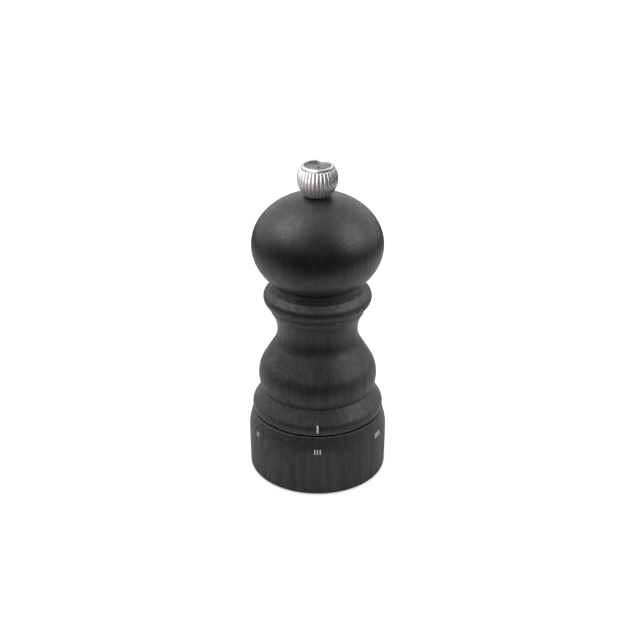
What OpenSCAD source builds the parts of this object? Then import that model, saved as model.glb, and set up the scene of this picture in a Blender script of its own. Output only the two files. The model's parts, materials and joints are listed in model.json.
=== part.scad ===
// Pepper mill: a turned wooden head, body and grind ring around a steel burr mechanism.
// +Z is up, the origin is on the table under the mill's axis, and all sizes are in millimetres.

/* [Grind ring] */
// Largest radius of the wooden grind ring
ring_r = 26.9; // [26.4:0.1:27]
// Height of the grind ring
ring_h = 25.3; // [25:0.1:26]
// Radius of the ring's upper edge, next to the body
ring_top_r = 25.5; // [25.3:0.1:25.8]
// Number of grind settings on the ring
settings = 6; // [4:1:8]

/* [Body] */
// Height of the wooden body
body_h = 54.6; // [53:0.2:58]
// Radius of the bead above the ring
bead_r = 25.4; // [25:0.1:25.6]
// Radius of the belly
belly_r = 22.9; // [22.4:0.1:23.4]
// Radius of the waist, the narrowest place
waist_r = 15.45; // [14.8:0.05:16]
// Radius of the collar under the head
collar_r = 20.65; // [20:0.05:21]
// Radius of the chamber that holds the peppercorns
chamber_r = 11.5; // [11.3:0.1:11.8]

/* [Head] */
// Largest radius of the wooden head
head_r = 24.85; // [24:0.05:26]
// Half the height that the head's oval would have if it were whole
head_half_h = 19.8; // [19:0.1:21]

/* [Knob] */
// Largest radius of the knob
knob_r = 7.6; // [7.3:0.1:8.2]
// Height of the knob above its washer
knob_h = 11.2; // [10.8:0.1:11.8]
// Number of flutes round the knob
flutes = 30; // [24:1:34]

/* [Mechanism] */
// Width of the square shaft across its flats
shaft_w = 5; // [4.8:0.1:5.1]
// Radial gap between the burrs at rest
burr_gap = 0.45; // [0.4:0.05:0.6]
// Number of fine teeth on each burr
fine_teeth = 24; // [18:1:28]
// Outer radius of the outer burr
stator_r = 13; // [12.8:0.1:13.2]

/* [Hidden] */
$fn = 96;
eps = 0.01;

// Clearances
seam = 0.5;        // shadow gap between two wooden pieces that turn on each other
running = 0.05;    // gap between faces and shafts that turn on each other
sliding = 0.1;     // radial gap of pieces that slide or screw along the axis
fit = 0.02;        // gap between pieces that are fixed to each other
arc_step = 4;      // degrees between two points of a drawn arc

// Grind ring
lip_r = 19.6;
lip_h = 6.5;
insert_r = 21;
flange_r = 22.8;
flange_t = 1.5;
foot_round = 1.5;
foot_draft = 0.2;
shoulder_z = 17.2;
shoulder_arc = 16;
edge_round = 0.5;

// Body
body_z = ring_h + seam;
bead_z = 1.6;
bead_arc = 4.4;
groove_z = 8.8;
groove_r = 21.55;
belly_z = 14.5;
belly_arc = 12.5;
waist_z = body_h - 21.2;
waist_step = belly_r - waist_r;
waist_rise = waist_z - belly_z;
// The arc under the waist stays small enough for a straight line to run between it and the belly's arc
waist_low_most = (waist_rise * waist_rise + waist_step * waist_step) / (2 * waist_step) - belly_arc - 0.2;
waist_low_arc = min(11, waist_low_most);
waist_high_arc = 14;
fillet_z = body_h - 13.4;
quirk_z = body_h - 11.5;
fillet_lean = 0.5;
collar_z = body_h - 7.5;
collar_low_arc = 3.8;
collar_high_arc = 3.1;
ridge_z = body_h - 2.5;
ridge_r = collar_r - 2.2;
slope_turn = 44;
slope_r = ridge_r - 0.05;
slope_z = ridge_z - 1.3;
neck_r = 18.1;
recess_r = 17.9;
recess_h = 15.2;
socket_r = 14.3;
socket_h = 5;
post_screw_r = 14.6;
screw_hole_r = 1.2;
screw_depth = 8;

// Detents, which click on the ring insert
detent_r = 20.6;
ball_r = 1.5;
pocket_r = 1.55;
pocket_h = 6;
detent_count = 2;

// Head
head_z = body_z + body_h + seam;
head_mid_z = head_z + 12.9;
seat_r = 5;
tenon_r = 11.9;
tenon_h = 4.9;
head_bore_r = 4;
plate_r = 10.8;
plate_t = 1.2;
plate_screw_r = 7.9;
plate_screw_hole_r = 0.9;
seat_z = head_mid_z + head_half_h * sin(acos(seat_r / head_r));

// Knob
washer_t = 0.6;
knob_z = seat_z + washer_t;
knob_arc = knob_r + 0.75;
knob_mid_z = knob_z + 6;
rim_r = 6.1;
rim_h = 1.35;
disc_r = 5.05;
disc_pocket = 1.1;
disc_t = 0.7;
flute_depth = 0.5;
brass_r = 3.8;
brass_h = 7.5;
thread_r = 2.5;
thread_pitch = 1;
thread_depth = 0.45;

// Burrs
rotor_z = 7;
rotor_h = 17;
rotor_r = 10.5;
cone_slope = 0.267;
fine_h = 6;
feed_r = 8.3;
rotor_top_r = 5.2;
stator_z = 8.6;
stator_h = 11;
stator_mouth_r = 11.3;
tooth_depth = 0.55;
tooth_angle = 24;
feed_teeth = 6;
feed_angle = 28;

// Carrier and posts
carrier_r = 17.4;
carrier_z = 7.8;
carrier_h = 16.5;
throat_r = 11.2;
throat_wall = 0.8;
throat_z = 21.8;
clip_t = 0.6;
clip_groove = 0.3;
post_r = 1.4;
post_place_r = 15.2;
posts = 3;
retainer_z = 5.2;
retainer_t = 1.2;
retainer_r = 18.8;
retainer_hole_r = 12.4;

// Guide at the top of the mechanism
plate_z = body_z + recess_h - 4.5;
bridge_t = 1;
bridge_z = body_z + recess_h - bridge_t;
shaft_round_r = shaft_w * 0.66;
bearing_r = shaft_round_r + running;
bearing_wall = 1;
bearing_z = bridge_z - 1.4;
washer_z = bearing_z - running - 0.6;

// ---------- helpers ----------

// Points of an arc round c, from angle a0 to a1, both in degrees
function arc(c, r, a0, a1) =
    let (n = max(2, ceil(abs(a1 - a0) / arc_step)))
    [for (i = [0:n]) let (a = a0 + (a1 - a0) * i / n) c + r * [cos(a), sin(a)]];

// Points of an oval round c with half axes a and b
function oval(c, a, b, a0, a1) =
    let (n = ceil(abs(a1 - a0) / arc_step))
    [for (i = [0:n]) let (t = a0 + (a1 - a0) * i / n) c + [a * cos(t), b * sin(t)]];

// Angle of the normal where one line touches two circles, with both on the same side of it
function shared_tangent(c1, r1, c2, r2) =
    let (d = c2 - c1) atan2(d[1], d[0]) - acos((r1 - r2) / norm(d));

// The same for a line that runs between the two circles
function crossed_tangent(c1, r1, c2, r2) = shared_tangent(c1, r1, c2, -r2);

// Angle at which a point at polar angle p and distance d from a circle's centre is reached by a tangent
function tangent_to_point(c, r, p) =
    let (d = p - c) atan2(d[1], d[0]) - acos(r / norm(d));

module turned(points) rotate_extrude() polygon(points);

module ring_shape(r_in, r_out, z, h) translate([0, 0, z]) difference() {
    cylinder(r = r_out, h = h);
    translate([0, 0, -1]) cylinder(r = r_in, h = h + 2);
}

module around(n, r, start = 0)
    for (i = [0:n - 1]) rotate([0, 0, start + i * 360 / n]) translate([r, 0, 0]) children();

// A coil spring standing on z, with closed ends
module coil(mean_r, wire_r, z, h, turns, per_turn, sides) {
    n = turns * per_turn;
    rise = h - 2 * wire_r;
    function ease(t) = t < 0.15 ? t * t / 0.3 : t > 0.85 ? 0.85 - (1 - t) * (1 - t) / 0.3 : t - 0.075;
    function height(i) = z + wire_r + rise * ease(i / n) / ease(1);
    points = [
        for (i = [0:n]) let (a = 360 * i / per_turn)
        for (k = [0:sides - 1]) let (b = 360 * k / sides, r = mean_r + wire_r * cos(b))
        [r * cos(a), r * sin(a), height(i) + wire_r * sin(b)]
    ];
    walls = [
        for (i = [0:n - 1]) for (k = [0:sides - 1]) let (j = (k + 1) % sides)
        [i * sides + k, i * sides + j, (i + 1) * sides + j, (i + 1) * sides + k]
    ];
    start_cap = [[for (k = [0:sides - 1]) sides - 1 - k]];
    end_cap = [[for (k = [0:sides - 1]) n * sides + k]];
    polyhedron(points, concat(start_cap, walls, end_cap), convexity = 10);
}

// A countersunk screw with its head's face at z = 0 looking down, and its shank going up
module countersunk_screw(head_r, shank_r, length, slot) difference() {
    union() {
        cylinder(r1 = head_r, r2 = shank_r, h = head_r - shank_r);
        cylinder(r = shank_r, h = length - shank_r);
        translate([0, 0, length - shank_r]) cylinder(r1 = shank_r, r2 = 0.2, h = shank_r);
    }
    for (a = [0, 90]) rotate([0, 0, a]) translate([-head_r * 0.6, -slot / 2, -1])
        cube([head_r * 1.2, slot, 1 + slot * 1.4]);
}

module countersunk_hole(head_r, shank_r, length) {
    cylinder(r1 = head_r + fit, r2 = shank_r + fit, h = head_r - shank_r);
    translate([0, 0, -1]) cylinder(r = shank_r + fit, h = length + 1);
    translate([0, 0, -1]) cylinder(r = head_r + fit, h = 1);
}

// ---------- wooden body ----------

function body_outline() =
    let (
        bead_c = [bead_r - bead_arc, bead_z],
        groove = [groove_r, groove_z],
        belly_c = [belly_r - belly_arc, belly_z],
        waist_low_c = [waist_r + waist_low_arc, waist_z],
        waist_high_c = [waist_r + waist_high_arc, waist_z],
        slope = crossed_tangent(belly_c, belly_arc, waist_low_c, waist_low_arc),
        waist_end = asin((fillet_z - waist_z) / waist_high_arc),
        fillet_r = waist_high_c[0] - waist_high_arc * cos(waist_end),
        collar_low_c = [collar_r - collar_low_arc, collar_z],
        collar_high_c = [collar_r - collar_high_arc, collar_z],
        quirk_r = fillet_r + fillet_lean,
        collar_start = -acos((quirk_r - collar_low_c[0]) / collar_low_arc),
        ridge = [ridge_r, ridge_z]
    )
    concat(
        arc([bead_r - 0.6, 0.6], 0.6, -90, -30),
        arc(bead_c, bead_arc, -asin((bead_z - 0.9) / bead_arc), tangent_to_point(bead_c, bead_arc, groove)),
        [groove],
        arc(belly_c, belly_arc, asin((groove_z + 0.15 - belly_z) / belly_arc), slope),
        arc(waist_low_c, waist_low_arc, slope - 180, -180),
        arc(waist_high_c, waist_high_arc, 180, 180 - waist_end),
        [[fillet_r - 0.1, quirk_z]],
        arc(collar_low_c, collar_low_arc, collar_start, 0),
        arc(collar_high_c, collar_high_arc, arc_step, slope_turn),
        [[slope_r, slope_z], ridge, [neck_r, ridge_z + 0.2]],
        arc([neck_r - edge_round, body_h - edge_round], edge_round, 0, 90)
    );

module body() color("#3a3b3e") translate([0, 0, body_z]) difference() {
    turned(concat(
        [[recess_r, 0]],
        body_outline(),
        [
            [socket_r, body_h], [socket_r, body_h - socket_h],
            [chamber_r, body_h - socket_h], [chamber_r, recess_h], [recess_r, recess_h]
        ]
    ));
    around(detent_count, detent_r) translate([0, 0, -1]) cylinder(r = pocket_r, h = pocket_h + 1);
    around(posts, post_screw_r, 60) cylinder(r = screw_hole_r, h = recess_h + screw_depth);
}

module neck_bush() color("#202124") translate([0, 0, body_z + body_h]) {
    ring_shape(tenon_r + sliding, socket_r, -socket_h, socket_h + eps);
    ring_shape(tenon_r + sliding, 16.4, 0, seam - running);
}

// ---------- fixed part of the mechanism ----------

module bearing_plate() color("#2b2c2f") difference() {
    union() {
        ring_shape(throat_r, recess_r - sliding, plate_z, bridge_z - plate_z);
        ring_shape(throat_r, throat_r + throat_wall, throat_z, plate_z - throat_z + eps);
        around(posts, post_place_r) translate([0, 0, retainer_z + retainer_t])
            cylinder(r = post_r, h = plate_z - retainer_z - retainer_t + eps);
    }
    around(posts, post_screw_r, 60) translate([0, 0, plate_z]) countersunk_hole(2.4, screw_hole_r, 6);
    around(posts, post_place_r) cylinder(r = 0.8, h = retainer_z + retainer_t + 5);
}

module bearing_plate_screws() color("silver") around(posts, post_screw_r, 60) translate([0, 0, plate_z])
    countersunk_screw(2.4, screw_hole_r, 4.5 + screw_depth - 0.5, 0.8);

module guide_bridge() color("silver") difference() {
    union() {
        ring_shape(throat_r, recess_r - sliding, bridge_z, bridge_t);
        translate([0, 0, bridge_z]) cylinder(r = 6.2, h = bridge_t);
        around(posts, 0, 60) translate([5, -1.6, bridge_z]) cube([throat_r - 4, 3.2, bridge_t]);
    }
    translate([0, 0, bridge_z - 1]) cylinder(r = bearing_r + bearing_wall, h = bridge_t + 2);
    around(posts, post_screw_r, 60)
        translate([0, 0, bridge_z - 1]) cylinder(r = screw_hole_r, h = bridge_t + 2);
}

module guide_bearing() color("ivory") difference() {
    union() {
        translate([0, 0, bearing_z])
            cylinder(r = bearing_r + bearing_wall, h = bridge_z + bridge_t - bearing_z + 1.4);
        translate([0, 0, bridge_z + bridge_t]) cylinder(r = 5.8, h = 1.4);
    }
    translate([0, 0, bearing_z - 1]) cylinder(r = bearing_r, h = 8);
}

module glide_ring() color("ivory") ring_shape(23.1, 24.3, ring_h + running, seam - running);

module detent_balls() color("silver") around(detent_count, detent_r)
    translate([0, 0, ring_h + ball_r + running]) sphere(r = ball_r);

module detent_springs() color("silver") around(detent_count, detent_r)
    coil(0.95, 0.25, ring_h + 2 * ball_r + 2 * running,
        seam + pocket_h - 2 * ball_r - 3 * running, 5, 12, 8);

module ring_retainer() color("silver") difference() {
    ring_shape(retainer_hole_r, retainer_r, retainer_z, retainer_t);
    around(posts, post_place_r) translate([0, 0, retainer_z]) countersunk_hole(1.7, 0.8, 3);
}

module retainer_screws() color("silver") around(posts, post_place_r) translate([0, 0, retainer_z])
    countersunk_screw(1.7, 0.8, 6, 0.55);

// ---------- grind ring ----------

function ring_outline() =
    let (
        shoulder_c = [ring_r - shoulder_arc, shoulder_z],
        edge_c = [ring_top_r - edge_round, ring_h - edge_round],
        slope = shared_tangent(shoulder_c, shoulder_arc, edge_c, edge_round)
    )
    concat(
        arc([ring_r - foot_draft - foot_round, foot_round], foot_round, -90, 0),
        [[ring_r, 11]],
        arc(shoulder_c, shoulder_arc, 0, slope),
        arc(edge_c, edge_round, slope, 90)
    );

module grind_ring() color("#3a3b3e") turned(concat(
    [[lip_r, 0.6], [lip_r + 0.6, 0]],
    ring_outline(),
    [
        [flange_r, ring_h], [flange_r, ring_h - flange_t],
        [insert_r, ring_h - flange_t], [insert_r, lip_h], [lip_r, lip_h]
    ]
));

// The insert that the carrier screws in, with a dimple for each setting
module ring_insert() color("#2b2c2f") difference() {
    union() {
        ring_shape(carrier_r + sliding, insert_r, lip_h, ring_h - lip_h);
        ring_shape(carrier_r + sliding, flange_r, ring_h - flange_t, flange_t);
    }
    around(settings, detent_r) translate([0, 0, ring_h + 0.9]) sphere(r = ball_r);
    for (i = [0:5]) translate([0, 0, lip_h + 3 + i * 2]) rotate_extrude()
        polygon([[carrier_r, -0.7], [carrier_r + 0.6, -0.2], [carrier_r + 0.6, 0.2], [carrier_r, 0.7]]);
}

// ---------- stator, which the ring raises and lowers ----------

module stator_carrier() color("#2b2c2f") difference() {
    translate([0, 0, carrier_z]) turned([
        [stator_r, 0], [carrier_r - 0.5, 0], [carrier_r, 0.5],
        [carrier_r, carrier_h - 0.5], [carrier_r - 0.5, carrier_h],
        [throat_r + throat_wall + sliding, carrier_h],
        [throat_r + throat_wall + sliding, stator_z + stator_h - carrier_z],
        [stator_r, stator_z + stator_h - carrier_z],
        [stator_r, stator_z - carrier_z], [stator_r + clip_groove, stator_z - carrier_z],
        [stator_r + clip_groove, stator_z - carrier_z - clip_t], [stator_r, stator_z - carrier_z - clip_t]
    ]);
    around(posts, post_place_r) cylinder(r = post_r + sliding, h = 60);
}

// One slanted V groove, cut into a face whose radius is r at height z
module slanted_groove(r, z, angle, lean, depth, length, outward) translate([r, 0, z])
    rotate([0, lean, 0]) rotate([angle, 0, 0]) translate([0, 0, -length / 2]) linear_extrude(length)
    polygon(outward ? [[-depth, 0], [0.4, -depth - 0.4], [0.4, depth + 0.4]]
                    : [[depth, 0], [-0.4, -depth - 0.4], [-0.4, depth + 0.4]]);

module stator() color("dimgray") difference() {
    turned([
        [rotor_r - cone_slope * (stator_z - rotor_z) + burr_gap, stator_z],
        [stator_r - fit, stator_z], [stator_r - fit, stator_z + stator_h - fit],
        [stator_mouth_r, stator_z + stator_h - fit],
        [rotor_r - cone_slope * fine_h + burr_gap, rotor_z + fine_h]
    ]);
    around(fine_teeth, 0) slanted_groove(
        rotor_r - cone_slope * 3 + burr_gap, rotor_z + 3, tooth_angle,
        -atan(cone_slope), tooth_depth, 7, false);
    around(feed_teeth, 0) slanted_groove(10.4, rotor_z + 10, -feed_angle, 18, 1.1, 10, false);
}

module stator_clip() color("silver") difference() {
    ring_shape(11.5, stator_r + clip_groove, stator_z - clip_t, clip_t);
    translate([8, -1.2, stator_z - clip_t - 1]) cube([8, 2.4, clip_t + 2]);
}

// ---------- shaft and what turns with it ----------

module shaft() color("silver") {
    top = seat_z - 0.3;
    turns = 6;
    difference() {
        translate([-shaft_w / 2, -shaft_w / 2, rotor_z]) cube([shaft_w, shaft_w, top - rotor_z]);
        ring_shape(shaft_round_r, shaft_w, rotor_z - 1, top - rotor_z + 2);
    }
    translate([0, 0, rotor_z - 2]) cylinder(r = 2, h = 2 + eps);
    turned(concat(
        [[0, top - eps], [thread_r - thread_depth, top - eps]],
        [for (i = [0:turns - 1]) each [
            [thread_r - thread_depth, top + i * thread_pitch + 0.1],
            [thread_r, top + i * thread_pitch + 0.5],
            [thread_r - thread_depth, top + i * thread_pitch + 0.95]
        ]],
        [[thread_r - thread_depth, top + turns * thread_pitch], [1.6, top + turns * thread_pitch + 0.45],
         [0, top + turns * thread_pitch + 0.45]]
    ));
}

module square_hole(z, h) {
    w = shaft_w + 2 * running;
    translate([-w / 2, -w / 2, z]) cube([w, w, h]);
}

module rotor() color("dimgray") difference() {
    turned([
        [0, rotor_z], [rotor_r - 0.4, rotor_z], [rotor_r - 0.1, rotor_z + 0.4],
        [rotor_r - cone_slope * fine_h, rotor_z + fine_h], [feed_r, rotor_z + fine_h + 0.5],
        [rotor_top_r, rotor_z + rotor_h], [0, rotor_z + rotor_h]
    ]);
    square_hole(rotor_z - 1, rotor_h + 2);
    around(fine_teeth, 0) slanted_groove(
        rotor_r - cone_slope * 3, rotor_z + 3, -tooth_angle, -atan(cone_slope), tooth_depth, 7, true);
    around(feed_teeth, 0) slanted_groove(7, rotor_z + 12, feed_angle, -16, 1.3, 11.5, true);
}

module rotor_nut() color("silver") translate([0, 0, rotor_z - 1.8]) difference() {
    cylinder(r = 4.04, h = 1.8, $fn = 6);
    translate([0, 0, -1]) cylinder(r = 2 + fit, h = 4);
}

module rotor_spring() color("silver")
    coil(4.65, 0.5, rotor_z + rotor_h, washer_z - rotor_z - rotor_h, 6, 20, 8);

module spring_washer() color("silver") ring_shape(3.7, 5.7, washer_z, 0.6);

// ---------- head ----------

module head() color("#3a3b3e") difference() {
    turned(concat(
        [
            [head_bore_r, head_z - tenon_h], [tenon_r - 0.4, head_z - tenon_h],
            [tenon_r, head_z - tenon_h + 0.4], [tenon_r, head_z]
        ],
        arc([18.6, head_z + edge_round], edge_round, -90, -50),
        oval([0, head_mid_z], head_r, head_half_h, -40, acos(seat_r / head_r)),
        [[head_bore_r, seat_z]]
    ));
    around(3, plate_screw_r)
        translate([0, 0, head_z - tenon_h - 1]) cylinder(r = plate_screw_hole_r, h = 8);
}

module drive_plate() color("silver") difference() {
    translate([0, 0, head_z - tenon_h - plate_t]) cylinder(r = plate_r, h = plate_t);
    square_hole(head_z - tenon_h - plate_t - 1, plate_t + 2);
    around(3, plate_screw_r) translate([0, 0, head_z - tenon_h - plate_t])
        countersunk_hole(1.9, plate_screw_hole_r, 3);
}

module drive_plate_screws() color("silver") around(3, plate_screw_r)
    translate([0, 0, head_z - tenon_h - plate_t]) countersunk_screw(1.9, plate_screw_hole_r, 8, 0.6);

// ---------- knob ----------

module knob_washer() color("#202124") ring_shape(thread_r + 0.2, 4.7, seat_z, washer_t);

// How far a flute cuts in at angle a: narrow grooves between rounded ribs
function flute(a) = let (t = a * flutes / 360, u = 2 * abs(t - floor(t) - 0.5)) flute_depth * u * u;

// The fluted grip: an arc turned round the axis, with its rows of points drawn in by the flutes
module grip() {
    columns = flutes * 6;
    low = asin((knob_z - knob_mid_z) / knob_arc);
    high = asin((knob_z + knob_h - rim_h + 0.2 - knob_mid_z) / knob_arc);
    last = 11;
    rows = [for (j = [0:last]) let (t = low + (high - low) * j / last)
        [knob_r - knob_arc + knob_arc * cos(t), knob_mid_z - knob_z + knob_arc * sin(t)]];
    points = [for (p = rows) for (i = [0:columns - 1])
        let (a = i * 360 / columns, r = p[0] - flute(a)) [r * cos(a), r * sin(a), p[1]]];
    walls = [for (j = [0:last - 1]) for (i = [0:columns - 1])
        let (k = (i + 1) % columns, c = j * columns, d = c + columns)
            each [[c + i, d + k, c + k], [c + i, d + i, d + k]]];
    middle = [[0, 0, rows[0][1]], [0, 0, rows[last][1]]];
    caps = [for (i = [0:columns - 1]) let (k = (i + 1) % columns, c = last * columns, m = len(points))
        each [[m, i, k], [m + 1, c + k, c + i]]];
    polyhedron(concat(points, middle), concat(walls, caps), convexity = 6);
}

module knob() color("silver") translate([0, 0, knob_z]) difference() {
    union() {
        grip();
        translate([0, 0, knob_h - rim_h]) rotate_extrude() polygon([
            [0, 0], [rim_r - 0.1, 0], [rim_r, 0.2], [rim_r - 0.1, rim_h - 0.6],
            [rim_r - 0.35, rim_h - 0.15], [rim_r - 0.7, rim_h], [0, rim_h]
        ]);
    }
    translate([0, 0, knob_h - disc_pocket]) cylinder(r = disc_r, h = 2);
    translate([0, 0, -1]) cylinder(r = brass_r, h = brass_h + 1);
    translate([0, 0, brass_h - eps]) cylinder(r = thread_r + 0.1, h = 0.8);
}

module knob_insert() color("goldenrod") ring_shape(thread_r + running, brass_r, knob_z, brass_h);

// A dished disc with a raised ring and a small boss in its middle
module knob_disc() color("gray") translate([0, 0, knob_z + knob_h - disc_pocket]) turned([
    [0, 0], [disc_r - fit, 0], [disc_r - fit, disc_t - 0.2], [3.5, disc_t - 0.3],
    [3.3, disc_t - 0.1], [3.05, disc_t - 0.1], [2.85, disc_t - 0.3],
    [1.2, disc_t - 0.32], [0.9, disc_t - 0.05], [0.4, disc_t], [0, disc_t]
]);

body();
neck_bush();
bearing_plate();
bearing_plate_screws();
guide_bridge();
guide_bearing();
glide_ring();
detent_balls();
detent_springs();
ring_retainer();
retainer_screws();
grind_ring();
ring_insert();
stator_carrier();
stator();
stator_clip();
shaft();
rotor();
rotor_nut();
rotor_spring();
spring_washer();
head();
drive_plate();
drive_plate_screws();
knob_washer();
knob();
knob_insert();
knob_disc();
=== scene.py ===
import json
import math

import bpy
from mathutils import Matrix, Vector


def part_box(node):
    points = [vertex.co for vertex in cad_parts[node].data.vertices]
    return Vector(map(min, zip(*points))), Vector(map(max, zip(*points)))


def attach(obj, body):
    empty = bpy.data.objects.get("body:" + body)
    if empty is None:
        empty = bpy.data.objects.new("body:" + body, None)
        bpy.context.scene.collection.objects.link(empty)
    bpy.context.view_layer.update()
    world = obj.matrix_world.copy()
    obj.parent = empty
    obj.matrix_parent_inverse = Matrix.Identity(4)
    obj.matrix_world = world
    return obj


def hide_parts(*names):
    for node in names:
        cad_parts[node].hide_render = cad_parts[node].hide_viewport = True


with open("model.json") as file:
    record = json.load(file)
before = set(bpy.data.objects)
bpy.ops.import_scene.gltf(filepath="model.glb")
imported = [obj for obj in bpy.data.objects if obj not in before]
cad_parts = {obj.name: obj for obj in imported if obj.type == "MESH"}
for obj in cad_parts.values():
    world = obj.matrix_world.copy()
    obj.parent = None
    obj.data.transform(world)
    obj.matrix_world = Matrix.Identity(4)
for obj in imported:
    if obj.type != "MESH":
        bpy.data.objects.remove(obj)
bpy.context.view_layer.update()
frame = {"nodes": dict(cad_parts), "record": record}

MM = 0.001
scene = bpy.context.scene

CAMERA_PLACE = (0, -0.450, 0.2854)
CAMERA_PITCH_DOWN = 26.21
CAMERA_LENS_MM = 74.68
CAMERA_SHIFT = -0.0025

ROOM_BRIGHT_WAY = (0.0, 0.9, 0.436)
ROOM_STOPS = [(0.0, (0.02, 0.019, 0.018)), (0.42, (0.03, 0.028, 0.027)), (0.56, (0.5, 0.5, 0.5)),
              (0.72, (1.0, 1.0, 1.0)), (0.9, (1.0, 1.0, 1.0))]
ROOM_STRENGTH = 1.3
FLOOR_TONE = 0.62
FLOOR_GLOW = 0.5
FLOOR_R = 1.6
# the floor lies just under the ring's foot, so that the two never share a plane
FLOOR_Z = -0.0001
# painted shade: in reflections and bounced light the floor darkens towards the camera and away from the mill
PAINTED_SHADE_FRONT_SPAN = (-0.16, -0.08)
PAINTED_SHADE_FAR_SPAN = (0.22, 0.34)
PAINTED_SHADE_FRONT_TONE, PAINTED_SHADE_FAR_TONE = 0.05, 0.08

WHITE = (1.0, 1.0, 1.0)
COOL = (0.93, 0.97, 1.0)
WARM = (1.0, 0.98, 0.96)
# name: place, aim, width, height, watts, colour
LIGHTS = {
    "key_left": ((-0.36, -0.03, 0.54), (0, 0, 0.07), 0.50, 0.46, 2.25, COOL),
    "card_front": ((-0.25, -0.62, 0.56), (0, 0, 0.09), 0.75, 0.22, 0.42, WHITE),
    "fill_right": ((0.455, -0.122, 0.42), (0, 0, 0.07), 0.45, 0.48, 1.85, WARM),
    "card_top": ((0, -0.37, 0.58), (0, 0, 0.05), 1.0, 0.35, 0.75, WHITE),
    "card_knob": ((-0.29, -0.37, 0.27), (0, 0, 0.13), 0.42, 0.56, 4.0, WHITE),
}


# ---------------------------------------------------------------- camera, stage and light

def make_camera():
    data = bpy.data.cameras.new("camera")
    data.sensor_width = 36
    data.lens = CAMERA_LENS_MM
    data.shift_x = CAMERA_SHIFT
    cam = bpy.data.objects.new("camera", data)
    cam.location = CAMERA_PLACE
    cam.rotation_euler = (math.radians(90 - CAMERA_PITCH_DOWN), 0, 0)
    scene.collection.objects.link(cam)
    scene.camera = cam


def area_light(name, place, target, width, height, power, colour):
    data = bpy.data.lights.new(name, "AREA")
    data.shape = "RECTANGLE"
    data.size, data.size_y = width, height
    data.energy = power
    data.color = colour
    lamp = bpy.data.objects.new(name, data)
    lamp.location = place
    aim = Vector(target) - Vector(place)
    lamp.rotation_euler = aim.to_track_quat("-Z", "Y").to_euler()
    scene.collection.objects.link(lamp)
    return lamp


def make_stage():
    """A round floor: even and bright to the camera; to everything else its colour carries painted shade
    towards the camera and away from the mill.
    """
    turns = [math.radians(a) for a in range(0, 360, 5)]
    edge = [(FLOOR_R * math.cos(a), FLOOR_R * math.sin(a), FLOOR_Z) for a in turns]
    mesh = bpy.data.meshes.new("floor")
    mesh.from_pydata(edge, [], [tuple(range(len(edge)))])
    floor = bpy.data.objects.new("floor", mesh)
    scene.collection.objects.link(floor)
    n = Nodes("floor_paper_painted_shade")
    path = n.add("ShaderNodeLightPath").outputs["Is Camera Ray"]
    apart = n.add("ShaderNodeSeparateXYZ", Vector=n.where())
    # painted shade on the floor, seen only by rays that are not the camera's: darker away from the mill and
    # towards the camera
    painted_far_shade = n.span(n.length(n.where()), *PAINTED_SHADE_FAR_SPAN, 1.0, PAINTED_SHADE_FAR_TONE)
    painted_shade_tone = n.math("MULTIPLY", n.span(apart.outputs["Y"], *PAINTED_SHADE_FRONT_SPAN, PAINTED_SHADE_FRONT_TONE, FLOOR_TONE), painted_far_shade)
    tone = n.math("MAXIMUM", painted_shade_tone, n.math("MULTIPLY", path, FLOOR_TONE))
    both = n.add("ShaderNodeCombineXYZ", X=tone, Y=tone, Z=tone)
    n.out("Base Color", both.outputs[0])
    n.out("Roughness", 0.9)
    n.out("Specular IOR Level", 0.1)
    n.out("Emission Color", WHITE)
    n.out("Emission Strength", n.math("MULTIPLY", path, FLOOR_GLOW))
    mesh.materials.append(n.mat)


def make_world():
    """A white room that is dark towards the camera's side, seen as plain white by the camera itself."""
    world = bpy.data.worlds.new("studio")
    scene.world = world
    world.use_nodes = True
    tree = world.node_tree
    tree.nodes.clear()
    out = tree.nodes.new("ShaderNodeOutputWorld")
    seen = tree.nodes.new("ShaderNodeBackground")
    seen.inputs["Color"].default_value = (1, 1, 1, 1)
    seen.inputs["Strength"].default_value = 1.0
    room = tree.nodes.new("ShaderNodeBackground")
    coord = tree.nodes.new("ShaderNodeTexCoord")
    facing = tree.nodes.new("ShaderNodeVectorMath")
    facing.operation = "DOT_PRODUCT"
    tree.links.new(coord.outputs["Generated"], facing.inputs[0])
    facing.inputs[1].default_value = ROOM_BRIGHT_WAY
    ramp = tree.nodes.new("ShaderNodeValToRGB")
    spread = tree.nodes.new("ShaderNodeMapRange")
    spread.inputs["From Min"].default_value = -1
    spread.inputs["From Max"].default_value = 1
    tree.links.new(facing.outputs["Value"], spread.inputs["Value"])
    tree.links.new(spread.outputs[0], ramp.inputs["Fac"])
    set_stops(ramp, ROOM_STOPS)
    tree.links.new(ramp.outputs["Color"], room.inputs["Color"])
    room.inputs["Strength"].default_value = ROOM_STRENGTH
    path = tree.nodes.new("ShaderNodeLightPath")
    mix = tree.nodes.new("ShaderNodeMixShader")
    tree.links.new(path.outputs["Is Camera Ray"], mix.inputs["Fac"])
    tree.links.new(room.outputs[0], mix.inputs[1])
    tree.links.new(seen.outputs[0], mix.inputs[2])
    tree.links.new(mix.outputs[0], out.inputs["Surface"])


def set_stops(ramp, stops):
    marks = ramp.color_ramp.elements
    while len(marks) < len(stops):
        marks.new(0.5)
    for mark, (place, colour) in zip(marks, stops):
        mark.position = place
        mark.color = (*colour, 1)


def make_lights():
    """Soft boxes left and right, cards over the camera, and a card that only the knob sees, by name."""
    return {name: area_light(name, *what) for name, what in LIGHTS.items()}


def light_link(lamp, state, *pieces):
    """INCLUDE: the lamp lights these pieces only. EXCLUDE: it lights everything but them."""
    group = bpy.data.collections.new(lamp.name + "_linking")
    for piece in pieces:
        group.objects.link(piece)
    for entry in group.collection_objects:
        entry.light_linking.link_state = state
    lamp.light_linking.receiver_collection = group


# ---------------------------------------------------------------- materials

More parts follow.
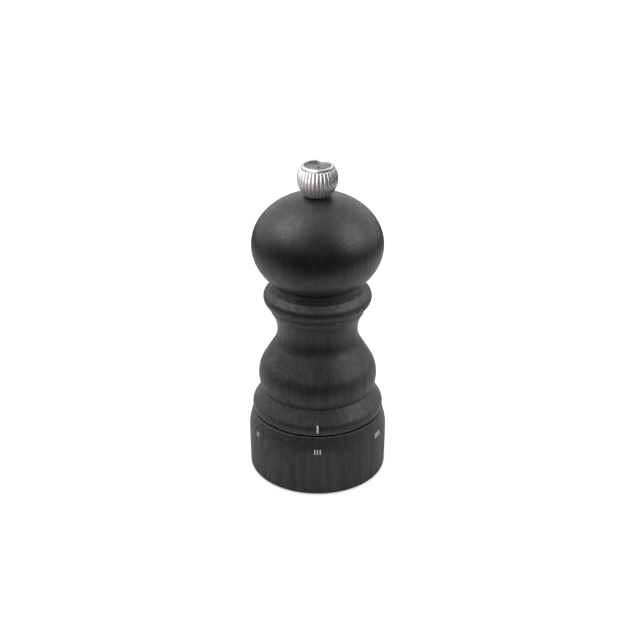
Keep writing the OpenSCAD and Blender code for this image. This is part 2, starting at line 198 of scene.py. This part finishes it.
class Nodes:
    """Short calls for building a material's nodes."""

    def __init__(self, name):
        self.mat = bpy.data.materials.new(name)
        self.mat.use_nodes = True
        self.tree = self.mat.node_tree
        self.shader = self.tree.nodes["Principled BSDF"]

    def add(self, kind, **inputs):
        node = self.tree.nodes.new(kind)
        for key, value in inputs.items():
            self.feed(node.inputs[key.replace("_", " ")], value)
        return node

    def feed(self, socket, value):
        if hasattr(value, "is_output"):
            self.tree.links.new(value, socket)
        else:
            socket.default_value = value

    def where(self):
        return self.add("ShaderNodeTexCoord").outputs["Object"]

    def mapped(self, vector, scale=(1, 1, 1), location=(0, 0, 0), rotation=(0, 0, 0)):
        node = self.add("ShaderNodeMapping", Vector=vector, Scale=scale, Location=location, Rotation=rotation)
        return node.outputs[0]

    def length(self, vector):
        node = self.tree.nodes.new("ShaderNodeVectorMath")
        node.operation = "LENGTH"
        self.feed(node.inputs[0], vector)
        return node.outputs["Value"]

    def noise(self, vector, scale, detail=3.0, rough=0.5):
        node = self.add("ShaderNodeTexNoise", Vector=vector, Scale=scale, Detail=detail, Roughness=rough)
        return node.outputs["Fac"]

    def math(self, kind, a, b=0.0):
        node = self.tree.nodes.new("ShaderNodeMath")
        node.operation = kind
        self.feed(node.inputs[0], a)
        self.feed(node.inputs[1], b)
        return node.outputs[0]

    def span(self, value, low, high, to_low=0.0, to_high=1.0):
        node = self.tree.nodes.new("ShaderNodeMapRange")
        node.clamp = True
        self.feed(node.inputs["Value"], value)
        node.inputs["From Min"].default_value = low
        node.inputs["From Max"].default_value = high
        node.inputs["To Min"].default_value = to_low
        node.inputs["To Max"].default_value = to_high
        return node.outputs[0]

    def mix(self, fac, a, b, kind="MIX"):
        node = self.tree.nodes.new("ShaderNodeMix")
        node.data_type = "RGBA"
        node.blend_type = kind
        self.feed(node.inputs[0], fac)
        self.feed(node.inputs[6], (*a, 1) if isinstance(a, tuple) else a)
        self.feed(node.inputs[7], (*b, 1) if isinstance(b, tuple) else b)
        return node.outputs[2]

    def bump(self, height, distance, strength=1.0, normal=None):
        node = self.add("ShaderNodeBump", Height=height, Distance=distance, Strength=strength)
        if normal is not None:
            self.tree.links.new(normal, node.inputs["Normal"])
        return node.outputs[0]

    def out(self, name, value):
        self.feed(self.shader.inputs[name], (*value, 1) if isinstance(value, tuple) else value)


# linear colours of the stain: in the late wood, between streaks, on them, its cool haze, and in the pores
STAINS = ((0.0005, 0.0005, 0.0005), (0.0030, 0.0030, 0.0031), (0.019, 0.019, 0.0196),
          (0.0095, 0.0097, 0.0120), (0.0004, 0.0004, 0.0004))


def wood_material(name, pith, shift, ring_pitch, lean, tone, gloss, painted_up_down_light):
    """Stained close-grained wood: rings round a far pith, fibres along Z, short flecks, and painted light
    that makes surfaces facing up or down paler.
    """
    n = Nodes(name)
    place = n.mapped(n.where(), location=shift, rotation=lean)
    # growth rings: distance from the pith line, bent a little by a slow noise
    wander = n.noise(n.mapped(place, scale=(16, 16, 9)), 1.0)
    away = n.length(n.mapped(place, scale=(1, 1, 0), location=(-pith[0], -pith[1], 0)))
    radius = n.math("ADD", away, n.math("MULTIPLY", wander, 0.005))
    tooth = n.math("FRACT", n.math("MULTIPLY", radius, 1.0 / ring_pitch))
    late = n.math("MULTIPLY", n.span(tooth, 0.35, 0.92), n.span(tooth, 0.92, 1.0, 1.0, 0.0))
    uneven = n.noise(n.mapped(place, scale=(90, 90, 40)), 1.0, 2.0)
    late = n.math("MULTIPLY", late, n.span(uneven, 0.38, 0.62, 0.15, 1.0))
    # fibres and wider streaks: long thin noise along Z
    fibre = n.noise(n.mapped(place, scale=(2600, 2600, 110)), 1.0, 3.0, 0.6)
    streak = n.span(n.noise(n.mapped(place, scale=(620, 620, 30)), 1.0, 3.0, 0.6), 0.39, 0.61)
    # flecks: short dark dashes
    cells = n.add("ShaderNodeTexVoronoi", Vector=n.mapped(place, scale=(1500, 1500, 260)), Scale=1.0)
    dash = n.span(cells.outputs["Distance"], 0.12, 0.26, 1.0, 0.0)
    crowd = n.noise(n.mapped(place, scale=(400, 400, 160)), 1.0, 2.0)
    fleck = n.math("MULTIPLY", dash, n.span(crowd, 0.5, 0.6))
    broad = n.noise(n.mapped(place, scale=(55, 55, 30)), 1.0)
    # colour
    deep, mid, pale, cool, pore = (tuple(tone * c for c in stain) for stain in STAINS)
    colour = n.mix(streak, mid, pale)
    colour = n.mix(n.span(fibre, 0.38, 0.68, 0.0, 0.55), colour, deep)
    colour = n.mix(n.span(broad, 0.35, 0.65, 0.0, 0.4), colour, cool)
    colour = n.mix(n.math("MULTIPLY", late, 0.85), colour, deep)
    colour = n.mix(n.math("MULTIPLY", fleck, 0.8), colour, pore)
    # painted light: the more a surface faces up or down, the paler it is made, a little more on the pale
    # streaks
    facing = n.add("ShaderNodeTexCoord").outputs["Normal"]
    upward = n.add("ShaderNodeSeparateXYZ", Vector=facing).outputs["Z"]
    # across is how far the surface faces up or down, the amount of this painted light
    across = n.math("POWER", n.math("ABSOLUTE", upward), 3.0)
    across = n.math("MULTIPLY", across, n.span(streak, 0.0, 1.0, 0.75, 1.25))
    painted_up_down_colour = n.mix(across, (0.0, 0.0, 0.0), (painted_up_down_light, painted_up_down_light, painted_up_down_light * 1.03))
    colour = n.mix(1.0, colour, painted_up_down_colour, "ADD")
    n.out("Base Color", colour)
    rough = n.math("ADD", n.span(streak, 0.0, 1.0, gloss + 0.07, gloss), n.math("MULTIPLY", fleck, 0.15))
    rough = n.math("ADD", rough, n.math("MULTIPLY", late, 0.09))
    n.out("Roughness", rough)
    n.out("Specular IOR Level", 0.5)
    height = n.math("SUBTRACT", n.math("MULTIPLY", fibre, 0.5), n.math("MULTIPLY", fleck, 0.8))
    fine = n.bump(height, 0.00004, 0.6)
    n.out("Normal", n.bump(n.math("SUBTRACT", n.math("MULTIPLY", streak, 0.6), late), 0.00003, 0.6, fine))
    return n.mat


def metal_material(name, colour, rough, grain, spread, dirt, bump=0.000006, aniso=0.0, metallic=1.0):
    """Metal with fine grain in its roughness, patches of dirt and, with aniso, a turned finish round Z."""
    n = Nodes(name)
    place = n.where()
    fine = n.noise(n.mapped(place, scale=grain), 1.0, 4.0, 0.6)
    broad = n.noise(place, 260.0, 3.0)
    dark = tuple(c * (1 - dirt) for c in colour)
    n.out("Base Color", n.mix(n.span(broad, 0.35, 0.7), colour, dark))
    n.out("Metallic", metallic)
    n.out("Roughness", n.math("ADD", rough, n.math("MULTIPLY", n.math("SUBTRACT", fine, 0.5), spread)))
    n.out("Normal", n.bump(fine, bump, 0.7))
    if aniso:
        n.out("Anisotropic", aniso)
        round_z = n.tree.nodes.new("ShaderNodeTangent")
        round_z.direction_type = "RADIAL"
        round_z.axis = "Z"
        n.out("Tangent", round_z.outputs[0])
    return n.mat


def plastic_material(name, colour, rough, speck=0.12):
    """Moulded plastic, slightly uneven in colour and surface."""
    n = Nodes(name)
    place = n.where()
    fine = n.noise(place, 4200.0, 2.0)
    broad = n.noise(place, 120.0, 3.0)
    pale = tuple(min(1.0, c * (1 + speck)) for c in colour)
    dark = tuple(c * (1 - speck) for c in colour)
    n.out("Base Color", n.mix(n.span(broad, 0.35, 0.65), dark, pale))
    n.out("Roughness", n.math("ADD", rough, n.math("MULTIPLY", fine, 0.1)))
    n.out("Normal", n.bump(fine, 0.00002, 0.35))
    return n.mat


def print_material():
    """Silver-grey printing ink, a little worn."""
    n = Nodes("silver_print")
    worn = n.noise(n.where(), 3200.0)
    n.out("Base Color", n.mix(n.span(worn, 0.35, 0.62), (0.42, 0.43, 0.44), (0.60, 0.61, 0.62)))
    n.out("Roughness", 0.5)
    n.out("Metallic", 0.2)
    n.out("Normal", n.bump(worn, 0.00001, 0.5))
    return n.mat


# ---------------------------------------------------------------- shapes

def oval(centre, wide, tall, start, end, step=1.5):
    """Points on part of an oval, from one angle to another in degrees."""
    count = max(2, math.ceil(abs(end - start) / step))
    turns = [math.radians(start + (end - start) * i / count) for i in range(count + 1)]
    return [(centre[0] + wide * math.cos(a), centre[1] + tall * math.sin(a)) for a in turns]


def arc(centre, radius, start, end, step=1.5):
    return oval(centre, radius, radius, start, end, step)


def shared_tangent(c1, r1, c2, r2):
    """Angle, on both circles, of the points where an outer tangent touches them."""
    dx, dy = c2[0] - c1[0], c2[1] - c1[1]
    return math.degrees(math.atan2(dy, dx)) - math.degrees(math.acos((r1 - r2) / math.hypot(dx, dy)))


def crossed_tangent(c1, r1, c2, r2):
    """The same for a tangent that crosses between the circles: its angle on the first one."""
    return shared_tangent(c1, r1, c2, -r2)


def tangent_to_point(c, r, p):
    """Angle on a circle where a line from a point outside it touches."""
    return shared_tangent(c, r, p, 0)


def turned(radius, height, angle):
    """A point in metres, from a radius and a height in millimetres and an angle round the Z axis."""
    return radius * MM * math.cos(angle), radius * MM * math.sin(angle), height * MM


def turns_of(columns):
    return [2 * math.pi * i / columns for i in range(columns)]


def wall_faces(columns, n):
    """Quads between neighbouring columns of n points each, closed round the axis and along the outline."""
    faces = []
    for i in range(columns):
        a, b = i * n, (i + 1) % columns * n
        faces += [(a + k, b + k, b + (k + 1) % n, a + (k + 1) % n) for k in range(n)]
    return faces


def mesh_piece(name, verts, faces, sharp=32):
    """A smooth piece whose edges over an angle, in degrees, stay sharp."""
    mesh = bpy.data.meshes.new(name)
    mesh.from_pydata(verts, [], faces)
    mesh.validate()
    mesh.shade_smooth()
    mesh.set_sharp_from_angle(angle=math.radians(sharp))
    obj = bpy.data.objects.new(name, mesh)
    scene.collection.objects.link(obj)
    return obj


def lathe(name, outline, columns=288):
    """A closed outline of (radius, height) points in millimetres, turned round the Z axis."""
    clean = []
    for p in outline:
        if not clean or math.dist(p, clean[-1]) > 1e-4:
            clean.append(p)
    verts = [turned(r, z, a) for a in turns_of(columns) for r, z in clean]
    return mesh_piece(name, verts, wall_faces(columns, len(clean)))


def solid_lathe(name, outline, columns=192):
    """An open outline that starts and ends on the Z axis, turned round it."""
    (_, z_first), *inner, (_, z_last) = outline
    n = len(inner)
    verts = [(0, 0, z_first * MM), (0, 0, z_last * MM)]
    verts += [turned(r, z, a) for a in turns_of(columns) for r, z in inner]
    faces = []
    for i in range(columns):
        a, b = 2 + i * n, 2 + (i + 1) % columns * n
        faces.append((0, b, a))
        faces += [(a + k, b + k, b + k + 1, a + k + 1) for k in range(n - 1)]
        faces.append((a + n - 1, b + n - 1, 1))
    return mesh_piece(name, verts, faces, 40)


def place_piece(obj, material, body, slot, *nodes):
    """Gives a piece its look and its body, and says which of the CAD's nodes it replaces."""
    obj.data.materials.clear()
    obj.data.materials.append(material)
    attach(obj, body)
    if nodes:
        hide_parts(*nodes)


make_camera()
make_stage()
make_world()
lights = make_lights()
scene.view_settings.view_transform = "Standard"


# ---------------------------------------------------------------- outlines

def height_of(node):
    low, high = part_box(node)
    return low.z / MM, high.z / MM


def radius_of(node):
    low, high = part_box(node)
    return (high.x - low.x) / MM / 2


RING_Z1 = height_of("grind_ring")[1]
RING_R = radius_of("grind_ring")
BODY_Z0, BODY_Z1 = height_of("body")
HEAD_Z0, HEAD_Z1 = height_of("head")
TENON_H = 4.9


def ring_side():
    """The ring's outside from its foot to its top edge, then a groove in the seam and the lip behind it."""
    foot_r, cove_r, edge_r = 1.5, 16.0, 0.5
    foot = (RING_R - 0.2 - foot_r, foot_r)
    straight_top = 11.0
    cove = (RING_R - cove_r, RING_Z1 - 8.1)
    edge = (25.5 - edge_r, RING_Z1 - 0.3 - edge_r)
    slope = shared_tangent(cove, cove_r, edge, edge_r)
    groove_z, lip_z = RING_Z1 - 1.4, RING_Z1 + 0.36
    line = arc(foot, foot_r, -90, 0, 4) + [(RING_R, straight_top)]
    line += arc(cove, cove_r, 0, slope)
    line += arc(edge, edge_r, slope, 90, 6)
    line += [(24.75, RING_Z1 - 0.35), (24.6, groove_z), (23.2, groove_z), (23.1, lip_z), (22.85, lip_z)]
    return line


def body_side():
    """The body's outside, from the bead above the ring to the top of the short neck."""
    tall = BODY_Z1 - BODY_Z0
    # bead and the groove over it
    lower_edge_r, bead_r, bead_out = 0.6, 4.4, 25.4
    lower_edge = (bead_out - lower_edge_r, 0.75)
    bead = (bead_out - bead_r, 1.6)
    bead_below = 0.7
    groove = (21.55, 8.8)
    # belly, and the waist with one arc below it and a wider one above
    belly_r, belly_low_z = 12.5, 8.95
    belly = (22.9 - belly_r, 14.5)
    waist, waist_z = 15.45, tall - 21.2
    low_r, high_r = 11, 14
    low, high = (waist + low_r, waist_z), (waist + high_r, waist_z)
    slope = crossed_tangent(belly, belly_r, low, low_r)
    waist_end = math.degrees(math.asin((tall - 13.4 - waist_z) / high_r))
    fillet = high[0] - high_r * math.cos(math.radians(waist_end))
    # collar: its round underside, shoulder, cove and ridge
    under_r, shoulder_r, collar_z = 3.8, 3.1, tall - 7.5
    under = (20.65 - under_r, collar_z)
    shoulder = (20.65 - shoulder_r, collar_z)
    under_start = -math.degrees(math.acos((fillet + 0.5 - under[0]) / under_r))
    ridge, ridge_z = 18.45, tall - 2.5
    cove_r, ridge_r = 0.55, 0.22
    cove = (ridge + 0.45, ridge_z - 0.86)
    ridge_top = (ridge - ridge_r, ridge_z - 0.15)
    neck, neck_edge_r = 18.1, 0.5

    line = arc(lower_edge, lower_edge_r, -90, -30, 6)
    bead_start = -math.degrees(math.asin(bead_below / bead_r))
    line += arc(bead, bead_r, bead_start, tangent_to_point(bead, bead_r, groove))
    line += [groove]
    line += arc(belly, belly_r, math.degrees(math.asin((belly_low_z - belly[1]) / belly_r)), slope)
    line += arc(low, low_r, slope - 180, -180)
    line += arc(high, high_r, 180, 180 - waist_end)
    line += [(fillet + 0.42, tall - 11.7), (fillet + 0.3, tall - 11.5), (fillet + 0.35, tall - 11.2)]
    line += arc(under, under_r, under_start, 0)
    line += arc(shoulder, shoulder_r, 1.5, 40)
    line += arc(cove, cove_r, 223, 185, 8)
    line += arc(ridge_top, ridge_r, 0, 80, 12) + [(neck, ridge_z + 0.12)]
    line += arc((neck - neck_edge_r, tall - neck_edge_r), neck_edge_r, 0, 90, 8)
    return [(r, z + BODY_Z0) for r, z in line]


def head_side():
    """The head's outside, from its lower edge to the flat under the knob."""
    edge_r = 0.5
    edge = (18.6, HEAD_Z0 + TENON_H + edge_r)
    middle = (0, HEAD_Z0 + TENON_H + 12.9)
    wide, tall = 24.85, 19.8
    flat_r = 5.0
    top = math.degrees(math.acos(flat_r / wide))
    return arc(edge, edge_r, -90, -50, 6) + oval(middle, wide, tall, -40, top)


# ---------------------------------------------------------------- wooden pieces

# three cuts from different planks, so that no two pieces share their figure
# the tones differ as painted light: the body and ring are paler copies of the head's stain, standing in for
# more light falling on them; the last argument is painted light too, making surfaces that face up or down
# paler
wood_head = wood_material("stained_wood_head", pith=(-0.031, 0.052), shift=(0.0, 0.0, 0.0),
                          ring_pitch=0.00085, lean=(0.02, 0.03, 0), tone=1.1, gloss=0.36, painted_up_down_light=0.0)
wood_body = wood_material("stained_wood_body", pith=(-0.055, -0.050), shift=(0.01, 0.02, 0.3),
                          ring_pitch=0.0011, lean=(0.04, -0.03, 0), tone=1.4, gloss=0.40, painted_up_down_light=0.030)
wood_ring = wood_material("stained_wood_ring", pith=(0.05, 0.03), shift=(0.02, -0.01, 0.7),
                          ring_pitch=0.0010, lean=(-0.03, 0.02, 0), tone=1.25, gloss=0.44, painted_up_down_light=0.035)

RING_IN = [(22.8, RING_Z1), (22.8, RING_Z1 - 1.5), (21, RING_Z1 - 1.5), (21, 6.5), (19.6, 6.5), (19.6, 0.6),
           (20.2, 0)]
BODY_IN = [(14.3, BODY_Z1), (14.3, BODY_Z1 - 5), (11.5, BODY_Z1 - 5), (11.5, BODY_Z0 + 15.2),
           (17.9, BODY_Z0 + 15.2), (17.9, BODY_Z0)]
TENON = [(4.0, HEAD_Z0), (11.5, HEAD_Z0), (11.9, HEAD_Z0 + 0.4), (11.9, HEAD_Z0 + TENON_H)]

ring = lathe("ring_wood", ring_side() + RING_IN)
place_piece(ring, wood_ring, "grind_ring", "stained_wood", "grind_ring")

body = lathe("body_wood", body_side() + BODY_IN)
place_piece(body, wood_body, "mill", "stained_wood", "body")

head = lathe("head_wood", TENON + head_side() + [(4.0, HEAD_Z1)])
place_piece(head, wood_head, "head", "stained_wood", "head")


# ---------------------------------------------------------------- knob

KNOB_Z0, KNOB_Z1 = height_of("knob")
KNOB_R = 7.6
FLUTES = 30
FLUTE_STEPS = 16
FLUTE_DEEP = 0.62
# the ribs' rounded tops, from the grip's last point: inwards, upwards, share of the flute's depth
RIB_TOPS = [(0.12, 0.16, 0.95), (0.30, 0.27, 0.75), (0.52, 0.33, 0.3), (0.74, 0.34, 0)]
# the groove under the lip, from the neck at the grip's last height: outwards, upwards
LIP_GROOVE = [(0, 0.36), (0, 0.46), (0.22, 0.50), (0.28, 0.56), (0.27, 0.70)]
# the lip's round top, from its outside and the knob's top: inwards, downwards
LIP_TOP = [(0.06, 0.42), (0.18, 0.2), (0.38, 0.05), (0.56, 0), (0.74, 0.04)]
DISC_HOLE_R, INSERT_HOLE_R, SHAFT_HOLE_R = 5.05, 2.6, 3.8
DISC_SEAT_DOWN = 1.1
INSERT_H = 7.5


def knob_rows():
    """Radius, height and share of the flute's depth, from the foot over the lip and down into the bore."""
    bulge = KNOB_R + 0.75
    centre = (KNOB_R - bulge, KNOB_Z0 + 6.0)
    low = math.degrees(math.asin((KNOB_Z0 + 0.25 - centre[1]) / bulge))
    high = math.degrees(math.asin((KNOB_Z1 - 1.12 - 0.35 - centre[1]) / bulge))
    grip = arc(centre, bulge, low, high, 1.2)
    foot = grip[0][0] - 0.28
    end, end_z = grip[-1]
    neck = end - 0.80
    lip = neck + 0.27
    seat, insert_top = KNOB_Z1 - DISC_SEAT_DOWN, KNOB_Z0 + INSERT_H
    rows = [(SHAFT_HOLE_R, KNOB_Z0, 0), (foot - 0.5, KNOB_Z0, 0), (foot, KNOB_Z0, 0.35),
            (foot + 0.2, KNOB_Z0 + 0.08, 0.75)]
    rows += [(r, z, 1.0) for r, z in grip]
    rows += [(end - inwards, end_z + up, depth) for inwards, up, depth in RIB_TOPS]
    rows += [(neck + out, end_z + up, 0) for out, up in LIP_GROOVE]
    rows += [(lip - inwards, KNOB_Z1 - down, 0) for inwards, down in LIP_TOP]
    rows += [(DISC_HOLE_R + 0.05, KNOB_Z1 - 0.14, 0), (DISC_HOLE_R, KNOB_Z1 - 0.2, 0)]
    rows += [(DISC_HOLE_R, seat, 0)]
    rows += [(INSERT_HOLE_R, seat, 0), (INSERT_HOLE_R, insert_top, 0), (SHAFT_HOLE_R, insert_top, 0)]
    return rows


def knob_shell():
    """Rounded ribs between narrow grooves, a plain lip with a groove under it, and a recess for the disc."""
    rows = knob_rows()
    columns = FLUTES * FLUTE_STEPS
    verts = []
    for i, angle in enumerate(turns_of(columns)):
        # 0 on a rib's crest, 1 in the middle of a groove
        across = 2 * abs(i / FLUTE_STEPS % 1 - 0.5)
        cut = FLUTE_DEEP * (0.42 * across * across + 0.58 * across ** 8)
        verts += [turned(r - cut * depth, z, angle) for r, z, depth in rows]
    return mesh_piece("knob_fluted", verts, wall_faces(columns, len(rows)), 50)


# the disc's face from its edge to its middle, as radius and height over its seat
DISC_FACE = [(5.03, 0.42), (4.9, 0.5), (4.45, 0.5), (4.4, 0.42),
             (3.5, 0.40), (3.42, 0.52), (3.3, 0.6), (3.05, 0.6), (2.95, 0.52), (2.88, 0.40),
             (1.2, 0.38), (1.12, 0.5), (0.95, 0.62), (0.5, 0.68), (0, 0.69)]


def disc_plate():
    """A dished disc with a raised ring and a small boss in its middle."""
    seat = height_of("knob_disc")[0]
    outline = [(0, seat), (DISC_FACE[0][0], seat)] + [(r, seat + up) for r, up in DISC_FACE]
    return solid_lathe("knob_disc_plate", outline)


knob_metal = metal_material("knob_polished_steel", (0.60, 0.58, 0.57), 0.40, grain=(900, 900, 60),
                            spread=0.10, dirt=0.10, bump=0.000004, aniso=0.3, metallic=0.86)
disc_metal = metal_material("knob_disc_dark", (0.17, 0.17, 0.175), 0.34, grain=(1400, 1400, 1400),
                            spread=0.12, dirt=0.3)
knob = knob_shell()
plate = disc_plate()
place_piece(knob, knob_metal, "knob", "knob_steel", "knob")
place_piece(plate, disc_metal, "knob", "disc_metal", "knob_disc")
light_link(lights["card_knob"], "INCLUDE", knob, plate)
light_link(lights["fill_right"], "EXCLUDE", knob, plate)
light_link(lights["card_top"], "EXCLUDE", knob, plate, head)


# ---------------------------------------------------------------- printed marks

def side_radius(side, z):
    """Radius of an outline at a height, in millimetres."""
    for (r0, z0), (r1, z1) in zip(side, side[1:]):
        if min(z0, z1) <= z <= max(z0, z1) and abs(z1 - z0) > 1e-9:
            return r0 + (r1 - r0) * (z - z0) / (z1 - z0)
    return side[-1][0]


def printed_bar(verts, faces, side, angle, width, z0, z1):
    """One bar of paint that follows the turned surface, with rounded corners."""
    rows, cols = 12, 5
    proud = 0.02
    base = len(verts)
    corner = width * 0.2
    for i in range(rows + 1):
        z = z0 + (z1 - z0) * i / rows
        edge = min(z - z0, z1 - z)
        half = width / 2
        if edge < corner:
            half -= corner - math.sqrt(max(0.0, corner ** 2 - (corner - edge) ** 2))
        r = side_radius(side, z) + proud
        for j in range(cols + 1):
            a = math.radians(angle) + (half * (2 * j / cols - 1)) / r
            verts.append(turned(r, z, a))
    for i in range(rows):
        for j in range(cols):
            k = base + i * (cols + 1) + j
            faces.append((k, k + 1, k + cols + 2, k + cols + 1))


def mark_piece(name, bars):
    """One piece from a list of bars, each an outline to follow, an angle, a width and two heights."""
    verts, faces = [], []
    for bar in bars:
        printed_bar(verts, faces, *bar)
    return mesh_piece(name, verts, faces)


SETTINGS = 6
REST_SETTING = 3
FRONT = -90
BAR_W, BAR_Z0, BAR_Z1 = 0.46, 18.3, 20.4
BAR_PITCH = math.degrees(1.05 / RING_R)
INDEX_W, INDEX_Z0, INDEX_Z1 = 0.74, 27.0, 29.9

paint = print_material()
outline = ring_side()
bars = []
for setting in range(1, SETTINGS + 1):
    middle = FRONT + 360 / SETTINGS * (setting - REST_SETTING)
    for k in range(setting):
        turn = middle + (k - (setting - 1) / 2) * BAR_PITCH
        bars.append((outline, turn, BAR_W, BAR_Z0, BAR_Z1))
place_piece(mark_piece("setting_marks", bars), paint, "grind_ring", None)
index = mark_piece("index_mark", [(body_side(), FRONT, INDEX_W, INDEX_Z0, INDEX_Z1)])
place_piece(index, paint, "mill", None)


# ---------------------------------------------------------------- the mechanism's own solids

FINISH = {
    "zinc_steel": metal_material("zinc_plated_steel", (0.60, 0.60, 0.58), 0.30, grain=(1600, 1600, 1600),
                                 spread=0.14, dirt=0.3),
    "burr_steel": metal_material("burr_steel_machined", (0.24, 0.24, 0.25), 0.36, grain=(700, 700, 3000),
                                 spread=0.16, dirt=0.35, bump=0.00001),
    "brass": metal_material("turned_brass", (0.70, 0.50, 0.22), 0.26, grain=(300, 300, 3600),
                            spread=0.12, dirt=0.25),
    "black_plastic": plastic_material("black_moulding", (0.022, 0.022, 0.024), 0.45),
    "pale_plastic": plastic_material("pale_acetal", (0.70, 0.68, 0.62), 0.40, 0.06),
}


def finish_node(node, material):
    """Gives one of the CAD's own solids its look, in every material slot it has."""
    if not node.material_slots:
        node.data.materials.append(material)
    for slot in node.material_slots:
        slot.material = material


for part in frame["record"]["subparts"]:
    if part["material_slot"] in FINISH:
        finish_node(frame["nodes"][part["node"]], FINISH[part["material_slot"]])
